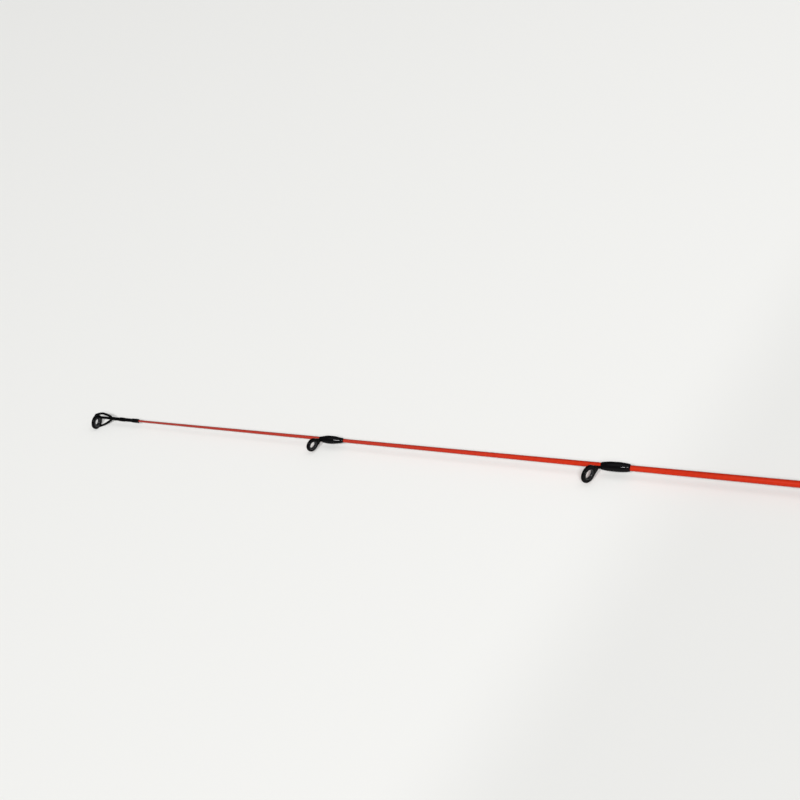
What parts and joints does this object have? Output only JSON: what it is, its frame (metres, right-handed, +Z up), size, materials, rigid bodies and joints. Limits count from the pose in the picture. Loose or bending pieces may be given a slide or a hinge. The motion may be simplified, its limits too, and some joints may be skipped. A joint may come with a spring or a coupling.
{
  "type": "baitcasting trout rod",
  "caption": "Two-piece baitcasting rod for trout: slim orange glass blank, black ringed guides, cork grips and a reel seat with a trigger, a moving hood and a lock nut.",
  "frame": {"origin": "centre of the butt cap's flat end face, on the rod's axis", "axes": "+X along the rod from the butt to the tip; +Y to the side with the line guides and the reel; +Z up, with the rod lying on its side"},
  "size_m": [1.4191, 0.0467, 0.0264],
  "materials": {
    "orange_blank": "translucent red-orange glass fibre under clear varnish",
    "black_frame": "gloss black coated steel",
    "ring_ceramic": "polished grey",
    "black_winding": "black thread under glossy varnish",
    "cork": "sanded natural cork",
    "black_rubber": "matt black",
    "black_seat": "satin black moulded plastic",
    "hood_metal": "dark anodised",
    "trim_metal": "turned and brushed",
    "arbor": "matt, hidden in the seat"
  },
  "bodies": {
    "butt_section": {"butt_blank": "orange_blank", "guide_6_frame": "black_frame", "guide_6_ring": "ring_ceramic", "guide_6_front_winding": "black_winding", "guide_6_rear_winding": "black_winding", "keeper_strap": "black_frame", "keeper_front_winding": "black_winding", "keeper_rear_winding": "black_winding", "winding_check": "trim_metal", "foregrip": "cork", "reel_seat": "black_seat", "front_arbor": "arbor", "rear_arbor": "arbor", "seat_trim_ring": "trim_metal", "rear_grip": "cork", "butt_trim_ring": "trim_metal", "butt_cap": "black_rubber"},
    "tip_section": {"solid_tip": "orange_blank", "tip_blank": "orange_blank", "ferrule_winding": "black_winding", "tip_top_frame": "black_frame", "tip_top_ring": "ring_ceramic", "tip_top_tube": "black_frame", "tip_top_collar": "black_winding", "guide_1_frame": "black_frame", "guide_1_ring": "ring_ceramic", "guide_1_winding": "black_winding", "guide_2_frame": "black_frame", "guide_2_ring": "ring_ceramic", "guide_2_winding": "black_winding", "guide_3_frame": "black_frame", "guide_3_ring": "ring_ceramic", "guide_3_winding": "black_winding", "guide_4_frame": "black_frame", "guide_4_ring": "ring_ceramic", "guide_4_winding": "black_winding", "guide_5_frame": "black_frame", "guide_5_ring": "ring_ceramic", "guide_5_winding": "black_winding"},
    "hood": {"moving_hood": "hood_metal", "hood_liner": "black_seat"},
    "nut": {"lock_nut": "black_seat"},
    "keeper": {"keeper_ring": "black_frame"}
  },
  "joints": [
    {"name": "ferrule_slide", "type": "slide", "parent": "butt_section", "child": "tip_section", "axis": [1, 0, 0], "range_m": [0, 0.06]},
    {"name": "hood_slide", "type": "slide", "parent": "butt_section", "child": "hood", "axis": [1, 0, 0], "range_m": [0, 0.01]},
    {"name": "nut_turn", "type": "hinge", "parent": "hood", "child": "nut", "pos_m": [0.2237, 0, 0], "axis": [1, 0, 0], "range_deg": [0, 1440]},
    {"name": "keeper_swing", "type": "hinge", "parent": "butt_section", "child": "keeper", "pos_m": [0.306, -0.00564, 0], "axis": [0, 0, -1], "range_deg": [0, 175]}
  ],
  "couplings": [
    {"joint": "hood_slide", "follows": "nut_turn", "m_per_rad": 0.00039789}
  ]
}
